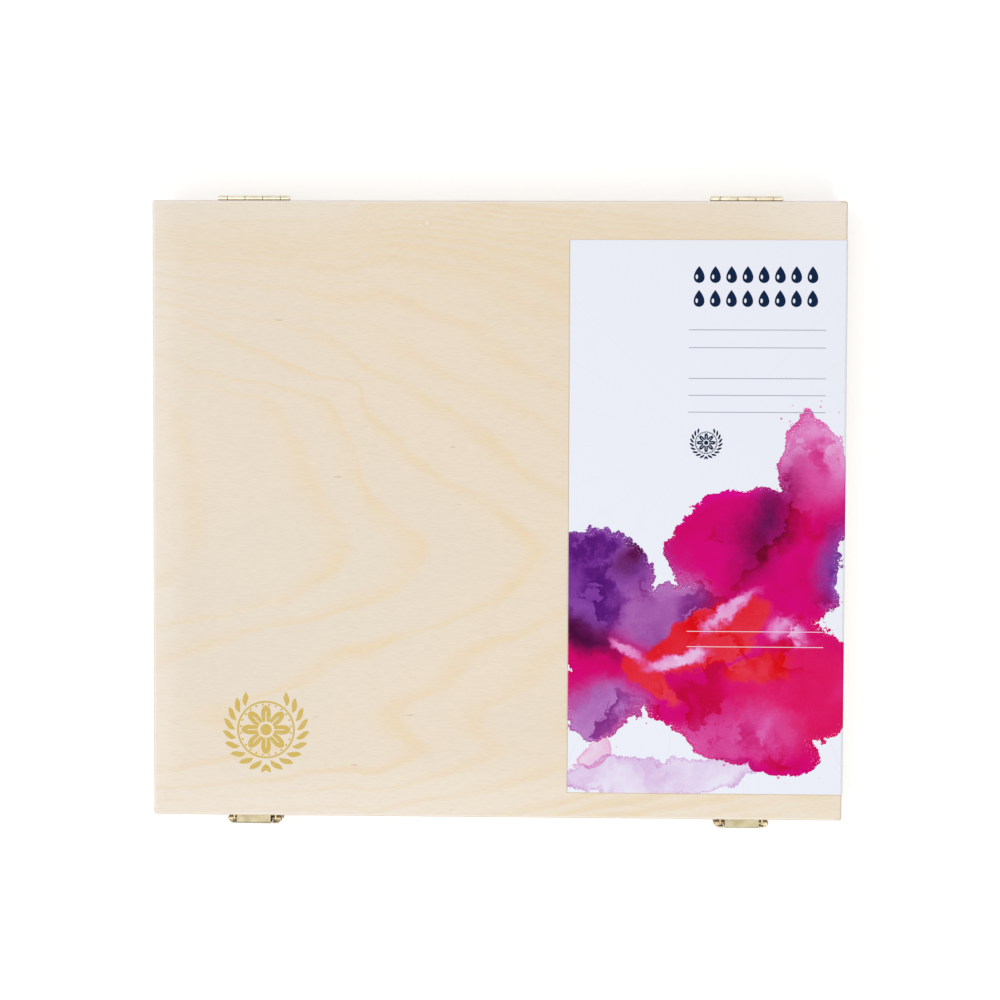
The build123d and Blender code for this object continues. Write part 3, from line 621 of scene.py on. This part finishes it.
# Pigments that run into each other there: centre, half widths, tilt, pigment, how thickly it
# lies, and the width over which it runs out
RUNS = (
    ((58, -34), (44, 36), 20, VIOLET, 0.95, 11),
    ((96, -58), (26, 20), -20, MAUVE, 0.8, 9),
    ((182, 34), (22, 26), 8, ROSE, 0.72, 12),
    ((172, -100), (42, 30), 8, CRIMSON, 0.92, 13),
    ((136, -124), (34, 13), 4, ROSE, 0.8, 8),
    ((56, -116), (26, 16), 24, MAUVE, 0.72, 8),
    ((150, -4), (9, 30), -18, PLUM, 1.0, 12),
    ((200, -34), (12, 26), 4, VIOLET, 0.9, 9),
    ((48, -70), (22, 8), -18, PLUM, 1.15, 8),
    ((82, -22), (14, 8), 40, PLUM, 0.9, 7),
    ((118, -74), (36, 14), 20, SCARLET, 1.0, 1.4),
    ((86, -94), (17, 7), -34, SCARLET, 0.95, 1.2),
    ((150, -88), (22, 8), 12, SCARLET, 1.0, 1.4),
    ((104, -84), (17, 5), 14, ROSE, 0.22, 2.0),
    ((132, -60), (15, 4), 30, ROSE, 0.25, 2.0),
    ((76, -78), (11, 4), -30, ROSE, 0.3, 2.0),
    ((168, -70), (12, 4), -8, ROSE, 0.3, 2.5),
)
MAGENTA_LOAD = 0.9
# Washes outside the painted area: centre, half widths, tilt, pigment, how thickly it lies
PALE_WASHES = (
    ((92, -149), (58, 12), 5, LILAC, 1.0),
    ((54, -138), (13, 9), 20, BLUSH, 0.8),
)
# How wet paint creeps: scales of noise, and how far each draws the paint's edges out
CREEP = ((15, 30.0), (55, 13.0), (190, 6.5), (620, 3.2), (1700, 1.4))
GREY_RULES = (102.7, 92.7, 75.4, 65.9, 56.4)
WHITE_RULES = (-67.6, -76.3)
RULE_START = 107.5
RULE_END = 184.5
GREY_RULE_HALF = 0.22
WHITE_RULE_HALF = 0.15
RULE_INK = rgb(160, 166, 180)
CARD_ORNAMENT_PLACE = (117.7, 39.2)
CARD_ORNAMENT_RADIUS = 9.5
DROP_ROWS = (129.0, 115.6)
DROP_START = 108.5
DROP_PITCH = 9.1
DROP_COUNT = 8
DROP_HEIGHT = 9.6
DROP_HALF_WIDTH = 3.1
# A drop tapers by the root of the height times what is left above it, most of all a third up
DROP_TAPER_PEAK = math.sqrt(1 / 3) * 2 / 3
# The light in a drop: its place beside and above the drop's foot, its size and its slimness
DROP_LIGHT_SIDE = -0.42 * DROP_HALF_WIDTH
DROP_LIGHT_RISE = 0.36 * DROP_HEIGHT
DROP_LIGHT_RADIUS = 1.25
DROP_LIGHT_SLIMNESS = 1.9


def inner_depth(p, here, centre, halves, tilt):
    """Millimetres inside the outline of a tilted ellipse, less than 0 outside it."""
    inputs = {"Vector": p.vector("SUBTRACT", here, (*centre, 0)), "Angle": math.radians(-tilt)}
    turned = p.node("ShaderNodeVectorRotate", inputs, rotation_type="Z_AXIS").outputs[0]
    reach = p.vector("LENGTH", p.vector("DIVIDE", turned, (*halves, 1)))
    return p.product(p.math("SUBTRACT", 1.0, reach), min(halves))


def ragged(p, depth, grit):
    """Share of paint near a ragged rim: full inside, with bare specks just within the rim."""
    wet = p.remap(depth, 0.0, 0.25)
    dry = p.remap(depth, 0.0, 6.0, 1.0, 0.0)
    bare = p.product(p.remap(grit, 0.54, 0.64), dry)
    return p.product(wet, p.math("SUBTRACT", 1.0, bare))


def glaze(p, sheet, pigment, load):
    """Transparent paint: the thicker it lies, the deeper its colour."""
    filtered = p.node("ShaderNodeGamma", {0: pigment, 1: load}).outputs[0]
    return p.mix(1.0, sheet, filtered, "MULTIPLY")


def thin_wash(p, sheet, depth, grit, pools, pigment, thickness):
    """One pale wash, darker along its rim."""
    rim = p.remap(depth, 0.3, 2.2, 0.5, 0.0)
    load = p.total(p.math("MULTIPLY_ADD", pools, 0.8, 0.15), rim)
    return glaze(p, sheet, pigment, p.product(load, thickness, ragged(p, depth, grit)))


def pigments(p, bend, pools):
    """Colour of the paint and how thickly it lies, where magenta and its neighbours run together."""
    pigment = MAGENTA
    load = p.math("MULTIPLY_ADD", pools, 0.24, MAGENTA_LOAD)
    for centre, halves, tilt, tint, thickness, run in RUNS:
        share = p.remap(inner_depth(p, bend, centre, halves, tilt), -run, run)
        pigment = p.mix(share, pigment, tint)
        inputs = {0: share, 2: load, 3: p.sway(pools, 0.3, thickness)}
        load = p.node("ShaderNodeMix", inputs, data_type="FLOAT").outputs[0]
    return pigment, load


def tide_marks(p, wet, bent, outline):
    """Extra paint along the lines where drying pools stopped."""
    tide = p.noise(bent, 17, 5, 0.6)
    mark = p.product(p.remap(tide, 0.496, 0.506), p.remap(tide, 0.508, 0.60, 1.0, 0.0))
    gate = p.remap(p.noise(wet, 22, 1), 0.46, 0.62)
    return p.product(mark, gate, p.remap(outline, 1.0, 5.0, 0.0, 0.7))


def spatter(p, wet, outline, sheet):
    """Small drops of rose just outside the rim of the paint."""
    spots = p.node("ShaderNodeTexVoronoi", {"Vector": wet, "Scale": 300.0}, feature="F1")
    chance = p.split(spots.outputs["Color"])
    size = p.remap(chance[0], 0.0, 1.0, 0.06, 0.26, smooth=False)
    dot = p.within(p.math("SUBTRACT", spots.outputs["Distance"], size), 0.0, 0.02)
    near_rim = p.between(outline, -7.0, -0.4, 1.5)
    return p.mix(p.product(dot, near_rim, p.remap(chance[1], 0.80, 0.84), 0.8), sheet, ROSE)


def painting(p, flat, y):
    """Coated paper with its washes of paint, thinner towards the top and darker along the rim."""
    wet = p.vector("MULTIPLY", flat, (1 / MM, 1 / MM, 0))
    bend = flat
    for scale, reach in CREEP:
        field = p.vector("SUBTRACT", p.noise(wet, scale, 1, 0.6, colour=True), (0.5, 0.5, 0.5))
        bend = p.vector("ADD", bend, p.vector("MULTIPLY", field, (reach, reach, 0)))
    bent = p.vector("MULTIPLY", bend, (1 / MM, 1 / MM, 0))
    pools = p.remap(p.noise(bent, 30, 3, 0.55), 0.28, 0.72)
    grit = p.noise(wet, 1100, 3, 0.75)
    outline = p.most(*(inner_depth(p, bend, *ellipse) for ellipse in PAINTED))
    pigment, load = pigments(p, bend, pools)
    rim = p.remap(outline, 0.2, 2.4, 0.22, 0.0)
    upward = p.math("MULTIPLY_ADD", y, 0.012, p.remap(outline, 1.0, 16.0, 0.5, 0.0))
    thinned = p.remap(upward, 0.35, 0.9, 0.0, 0.45)
    load = p.total(p.math("SUBTRACT", p.total(load, rim), thinned), tide_marks(p, wet, bent, outline))
    load = p.product(load, p.math("MULTIPLY_ADD", grit, 0.5, 0.76), ragged(p, outline, grit))
    sheet = glaze(p, PAPER, pigment, load)
    for centre, halves, tilt, tint, thickness in PALE_WASHES:
        depth = inner_depth(p, bend, centre, halves, tilt)
        sheet = thin_wash(p, sheet, depth, grit, pools, tint, thickness)
    return spatter(p, wet, outline, sheet)


def rules(p, along, up, levels, half):
    """Share of ink of thin level lines."""
    lines = [p.within(p.off(up, level), half, 0.06) for level in levels]
    return p.product(p.most(*lines), p.between(along, RULE_START, RULE_END, 0.05))


def drops(p, along, up):
    """Share of ink of rows of water drops, each with a small light in it."""
    place = p.math("DIVIDE", p.math("SUBTRACT", along, DROP_START), DROP_PITCH)
    side = p.product(p.math("SUBTRACT", p.math("FRACT", place), 0.5), DROP_PITCH)
    inked = []
    for bottom in DROP_ROWS:
        rise = p.math("DIVIDE", p.math("SUBTRACT", up, bottom), DROP_HEIGHT, clamp=True)
        taper = p.product(p.math("SQRT", rise), p.math("SUBTRACT", 1.0, rise))
        half = p.product(taper, DROP_HALF_WIDTH / DROP_TAPER_PEAK)
        drop = p.within(p.math("SUBTRACT", p.math("ABSOLUTE", side), half), -0.05, 0.06)
        light_place = (DROP_LIGHT_SIDE, bottom + DROP_LIGHT_RISE)
        light = p.reach(side, up, light_place, (1 / DROP_LIGHT_SLIMNESS, 1))
        light = p.within(light, DROP_LIGHT_RADIUS, 0.12)
        inked.append(p.math("SUBTRACT", drop, light, clamp=True))
    return p.product(p.most(*inked), p.between(place, 0.0, DROP_COUNT, 0.01))


def card():
    """The painted card, with thin rules, rows of drops and the ornament printed over the paint."""
    p = Paint("card")
    x, y, z = p.millimetres()
    along = p.total(x, p.math("SUBTRACT", box_mm("label_card")[1].z, z))
    sheet = painting(p, p.join(along, y, 0.0), y)
    sheet = p.mix(rules(p, along, y, GREY_RULES, GREY_RULE_HALF), sheet, RULE_INK)
    sheet = p.mix(rules(p, along, y, WHITE_RULES, WHITE_RULE_HALF), sheet, PAPER)
    navy = rosette(p, along, y, CARD_ORNAMENT_PLACE, CARD_ORNAMENT_RADIUS, CARD_INK_SOFTNESS)
    sheet = p.mix(p.most(navy, drops(p, along, y)), sheet, NAVY_INK)
    tooth = p.noise(p.place(), 1800, 2)
    roughness = p.remap(tooth, 0.3, 0.7, 0.42, 0.5)
    return p.finish(sheet, roughness, p.bump(tooth, 0.00001, 0.4), Specular_IOR_Level=0.03)


# Inside of the box
TRAY_BLACK = rgb(38, 39, 42)
TRAY_CLOUD = rgb(48, 49, 53)
TRAY_SCUFF = rgb(78, 79, 84)
CAP_WHITE = rgb(242, 242, 239)
CAP_SHADE = rgb(226, 227, 225)
TUBE_METAL = rgb(226, 227, 229)
TUBE_METAL_SHADE = rgb(192, 194, 198)
SLEEVE_WHITE = rgb(244, 244, 242)
SLEEVE_SHADE = rgb(232, 232, 230)
FOAM_WHITE = rgb(240, 238, 233)
FOAM_SHADE = rgb(214, 211, 204)
# Painted shade in the foam's pores
FOAM_PORE_SHADE = rgb(176, 172, 164)
FOAM_AGED = rgb(222, 217, 206)
TUBES_PER_ROW = 20
# Length of a tube's neck and shoulder, and places of the printed sleeve from the shoulder on
TUBE_SHOULDER = 10.2
LABEL_START = 2.2
LABEL_END = 41.0
SWATCH_START = 5.0
SWATCH_END = 17.0
STRIPE_START = 18.6
STRIPE_END = 19.2
CRIMP_START = 49.0
CRIMP_END = 53.0
PRINT_EDGE = 0.08
# Colours of the paints from the first tube to the last, row by row, round the colour circle
PAINT_RANGE = (
    (0.00, rgb(250, 244, 226)), (0.05, rgb(252, 226, 70)), (0.12, rgb(250, 190, 20)),
    (0.19, rgb(240, 120, 20)), (0.26, rgb(222, 40, 30)), (0.34, rgb(190, 16, 50)),
    (0.41, rgb(205, 30, 120)), (0.47, rgb(130, 40, 130)), (0.53, rgb(64, 40, 130)),
    (0.60, rgb(20, 50, 150)), (0.66, rgb(10, 110, 180)), (0.72, rgb(0, 130, 130)),
    (0.77, rgb(30, 120, 60)), (0.82, rgb(110, 140, 40)), (0.86, rgb(200, 150, 60)),
    (0.90, rgb(160, 80, 40)), (0.94, rgb(90, 55, 40)), (1.00, rgb(36, 36, 40)),
)


def tray_plastic():
    """Thin formed sheet: a fine satin texture, scuffed a little lighter."""
    p = Paint("tray_plastic")
    grain = p.noise(p.place(), 1400, 2)
    cloud = p.noise(p.place(), 26, 3)
    scuff = p.noise(p.place((60, 900, 900)), 1, 3, 0.7)
    colour = p.mix(p.remap(cloud, 0.3, 0.7), TRAY_BLACK, TRAY_CLOUD)
    colour = p.mix(p.remap(scuff, 0.62, 0.78, 0.0, 0.5), colour, TRAY_SCUFF)
    return p.finish(colour, p.remap(cloud, 0.3, 0.7, 0.34, 0.48), p.bump(grain, 0.00004, 0.5))


def cap_plastic():
    """Moulded white caps with fine grip lines along them."""
    p = Paint("cap_plastic")
    cloud = p.noise(p.place(), 240, 3)
    lines = p.noise(p.place((3200, 60, 3200)), 1, 1)
    colour = p.mix(p.remap(cloud, 0.3, 0.7), CAP_WHITE, CAP_SHADE)
    height = p.math("MULTIPLY_ADD", lines, 0.8, p.product(cloud, 0.2))
    return p.finish(colour, p.remap(cloud, 0.3, 0.7, 0.34, 0.44), p.bump(height, 0.00006, 0.5))


def tube_skin(row, rows, name):
    """Bare metal tubes with a white printed sleeve and a swatch of each tube's own paint."""
    low, high = box_mm(name)
    p = Paint(f"tube_skin_{row}")
    x, y, z = p.millimetres()
    pitch = (high.x - low.x) / TUBES_PER_ROW
    place = p.math("FLOOR", p.math("DIVIDE", p.math("SUBTRACT", x, low.x), pitch))
    number = p.math("DIVIDE", p.total(place, row * TUBES_PER_ROW), rows * TUBES_PER_ROW - 1)
    paint = p.ramp(number, PAINT_RANGE)
    down = p.math("SUBTRACT", y, low.y + TUBE_SHOULDER)
    label = p.between(down, LABEL_START, LABEL_END, PRINT_EDGE)
    swatch = p.between(down, SWATCH_START, SWATCH_END, PRINT_EDGE)
    stripe = p.between(down, STRIPE_START, STRIPE_END, PRINT_EDGE)
    dent = p.noise(p.place((160, 90, 160)), 1, 3, 0.55)
    fine = p.noise(p.place(), 700, 2)
    metal = p.mix(p.remap(dent, 0.3, 0.7), TUBE_METAL, TUBE_METAL_SHADE)
    sleeve = p.mix(p.remap(fine, 0.3, 0.7), SLEEVE_WHITE, SLEEVE_SHADE)
    colour = p.mix(label, metal, sleeve)
    colour = p.mix(p.most(swatch, stripe), colour, paint)
    folds = p.noise(p.place((40, 1500, 40)), 1, 1)
    folds = p.product(folds, p.remap(down, CRIMP_START, CRIMP_END))
    height = p.math("MULTIPLY_ADD", folds, 0.5, dent)
    p.put(p.shader.inputs["Metallic"], p.math("SUBTRACT", 1.0, label))
    return p.finish(colour, p.math("MULTIPLY_ADD", label, 0.12, 0.3), p.bump(height, 0.0004, 0.35))


def foam():
    """Open-celled packing foam, with painted shade in its pores."""
    p = Paint("foam")
    cells = p.noise(p.place(), 1500, 2)
    spots = p.node("ShaderNodeTexVoronoi", {"Vector": p.place(), "Scale": 1100.0}, feature="F1")
    holes = spots.outputs["Distance"]
    cloud = p.noise(p.place(), 22, 2)
    colour = p.mix(p.remap(cells, 0.35, 0.7), FOAM_WHITE, FOAM_SHADE)
    # Painted shade in the pores
    colour = p.mix(p.remap(holes, 0.30, 0.12, 0.0, 0.45), colour, FOAM_PORE_SHADE)
    colour = p.mix(p.remap(cloud, 0.3, 0.7, 0.0, 0.3), colour, FOAM_AGED)
    height = p.math("MULTIPLY_ADD", holes, 0.6, p.product(cells, 0.4))
    return p.finish(colour, 0.95, p.bump(height, 0.0006, 0.9))


# Each material on its pieces
def give(material, *names):
    """Puts a material on CAD nodes, in every slot."""
    for name in names:
        for slot in NODES[name].material_slots:
            slot.material = material


give(panel_wood("lid_ply", "lid_top_panel", 1.0, True), "lid_top_panel")
give(panel_wood("bottom_ply", "base_bottom_panel", -1.0, False), "base_bottom_panel")
give(wall_wood("wood_along_x", "x"), "base_front_wall", "base_back_wall", "lid_front_rail", "lid_back_rail")
give(wall_wood("wood_along_y", "y"), "base_left_wall", "base_right_wall", "lid_left_rail", "lid_right_rail")
claw_brass = brass("pale_brass", CLAW_TONE, CLAW_SHADE, 0.36, BRUSHED_X)
lever_brass = brass("lever_brass", LEVER_TONE, LEVER_SHADE, 0.3, BRUSHED_Y)
screw_brass = brass("screw_brass", SCREW_TONE, SCREW_SHADE, 0.36, TURNED)
for side in ("left", "right"):
    hinge_brass = brass(f"hinge_brass_{side}", HINGE_TONE, HINGE_SHADE, 0.34, BRUSHED_X, side)
    give(hinge_brass, *(f"hinge_{side}_{part}" for part in ("lid_leaf", "base_leaf", "pin")))
    give(claw_brass, *(f"latch_{side}_{part}" for part in ("claw", "claw_pin", "strike_plate")))
    give(lever_brass, *(f"latch_{side}_{part}" for part in ("lever", "lever_pin", "base_plate")))
give(screw_brass, "hinge_lid_screws", "hinge_base_screws", "strike_screws", "latch_base_screws")
give(card(), "label_card")
give(tray_plastic(), "tube_tray")
tube_rows = sorted(name for name in NODES if name.startswith("tubes_row_"))
for row, name in enumerate(tube_rows):
    give(tube_skin(row, len(tube_rows), name), name)
give(cap_plastic(), *(name for name in NODES if name.startswith("caps_row_")))


# Foam pad: a cut sheet with softened edges, slack by fractions of a millimetre. In metres.
PAD_SIDE_GAP = 0.0005
PAD_EDGE = 0.003
PAD_LONG_EDGE = 0.02
PAD_CUTS = 48
PAD_SLACK = 0.0007
PAD_BROAD_WAVES = 16
PAD_SMALL_WAVES = 60


def pad_slack(x, y):
    """How far the pad's skin lies below its full size."""
    broad = noise.noise(Vector((x * PAD_BROAD_WAVES, y * PAD_BROAD_WAVES, 0.0)))
    small = noise.noise(Vector((x * PAD_SMALL_WAVES, y * PAD_SMALL_WAVES, 3.0)))
    return PAD_SLACK * (0.5 + 0.35 * broad + 0.15 * small)


def foam_pad():
    """The pad's sheet, a little smaller than the solid that it takes the place of."""
    low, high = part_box("lid_foam_pad")
    middle = (low + high) / 2
    size = high - low
    shape = bmesh.new()
    bmesh.ops.create_cube(shape, size=1.0)
    bmesh.ops.scale(shape, vec=size - Vector((2 * PAD_SIDE_GAP, 2 * PAD_SIDE_GAP, 0.0)), verts=shape.verts)
    bmesh.ops.bevel(shape, geom=shape.edges[:], offset=PAD_EDGE, segments=4, affect="EDGES", profile=0.5)
    long_edges = [edge for edge in shape.edges if edge.calc_length() > PAD_LONG_EDGE]
    bmesh.ops.subdivide_edges(shape, edges=long_edges, cuts=PAD_CUTS, use_grid_fill=True)
    for vertex in shape.verts:
        here = vertex.co
        slack = pad_slack(here.x, here.y)
        here.x -= math.copysign(slack, here.x) * (abs(here.x) > size.x / 2 - PAD_EDGE)
        here.y -= math.copysign(slack, here.y) * (abs(here.y) > size.y / 2 - PAD_EDGE)
        here.z += slack * (here.z < 0)
    bmesh.ops.translate(shape, vec=middle, verts=shape.verts)
    mesh = bpy.data.meshes.new("foam_sheet")
    shape.to_mesh(mesh)
    shape.free()
    pad = add("foam_sheet", mesh)
    for polygon in mesh.polygons:
        polygon.use_smooth = True
    mesh.materials.append(foam())
    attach(pad, "lid")
    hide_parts("lid_foam_pad")


foam_pad()

# Camera, fitted to the lid's corners, the hinges and the latches of the photograph: its place in
# metres, its turn in degrees and its focal length in pixels of a picture this wide
CAMERA_PLACE = (0.0453, 0.0690, 1.3945)
CAMERA_TURN = (-2.661, 1.874, 0.225)
CAMERA_FOCAL_PX = 2381.5
PICTURE_PX = 1000
SENSOR_WIDTH = 36.0


def camera():
    """The camera at the photograph's viewing angle."""
    data = bpy.data.cameras.new("camera")
    data.sensor_width = SENSOR_WIDTH
    data.lens = CAMERA_FOCAL_PX / PICTURE_PX * SENSOR_WIDTH
    made = add("camera", data)
    made.location = CAMERA_PLACE
    made.rotation_euler = Euler([math.radians(a) for a in CAMERA_TURN], "XYZ")
    bpy.context.scene.camera = made


# Floor, lamps and world
FLOOR_REACH = 6.0
FLOOR_GREY = (0.82, 0.82, 0.82)
# Where it is seen, the floor glows: this much near the box, and fully beyond the far distance
FLOOR_GLOW_NEAR = 0.38
FLOOR_NEAR = 0.3
FLOOR_FAR = 1.2
WORLD_STRENGTH = 0.45
# Lamps aimed at the box: place and size in metres, power in watts
LAMPS = {
    "overhead": ((-0.35, -0.05, 1.9), 2.0, 20),
    "front": ((0.5, -1.6, 1.3), 0.9, 7),
}
SEEN_RAYS = ("Is Camera Ray", "Is Glossy Ray", "Is Transmission Ray")


def floor():
    """A pale floor that takes the object's shadow."""
    reach = FLOOR_REACH
    mesh = bpy.data.meshes.new("floor")
    corners = [(-reach, -reach, 0), (reach, -reach, 0), (reach, reach, 0), (-reach, reach, 0)]
    mesh.from_pydata(corners, [], [(0, 1, 2, 3)])
    made = add("floor", mesh)
    p = Paint("floor")
    path = p.node("ShaderNodeLightPath", {}).outputs
    seen = p.most(*(path[ray] for ray in SEEN_RAYS))
    away = p.vector("LENGTH", p.place())
    glow = p.remap(away, FLOOR_NEAR, FLOOR_FAR, FLOOR_GLOW_NEAR, 1.0)
    p.finish(FLOOR_GREY, 0.9, Emission_Color=(1.0, 1.0, 1.0), Specular_IOR_Level=0.0)
    p.put(p.shader.inputs["Emission Strength"], p.product(seen, glow))
    mesh.materials.append(p.material)


def lamp(name, place, size, power):
    """A square soft lamp, aimed at the middle of the box."""
    data = bpy.data.lights.new(name, "AREA")
    data.shape = "SQUARE"
    data.size = size
    data.energy = power
    made = add(name, data)
    made.location = place
    made.rotation_euler = (-Vector(place)).to_track_quat("-Z", "Y").to_euler()


def world():
    """Even light, and plain white where it is seen or mirrored."""
    made = bpy.data.worlds.new("world")
    bpy.context.scene.world = made
    made.use_nodes = True
    tree = made.node_tree
    tree.nodes.clear()
    path = tree.nodes.new("ShaderNodeLightPath")
    seen = path.outputs[SEEN_RAYS[0]]
    for ray in SEEN_RAYS[1:]:
        either = tree.nodes.new("ShaderNodeMath")
        either.operation = "MAXIMUM"
        tree.links.new(seen, either.inputs[0])
        tree.links.new(path.outputs[ray], either.inputs[1])
        seen = either.outputs[0]
    level = tree.nodes.new("ShaderNodeMapRange")
    tree.links.new(seen, level.inputs[0])
    level.inputs[3].default_value = WORLD_STRENGTH
    level.inputs[4].default_value = 1.0
    background = tree.nodes.new("ShaderNodeBackground")
    background.inputs[0].default_value = (1, 1, 1, 1)
    tree.links.new(level.outputs[0], background.inputs["Strength"])
    output = tree.nodes.new("ShaderNodeOutputWorld")
    tree.links.new(background.outputs[0], output.inputs[0])


camera()
floor()
world()
for name, (place, size, power) in LAMPS.items():
    lamp(name, place, size, power)
bpy.context.scene.view_settings.view_transform = "Standard"
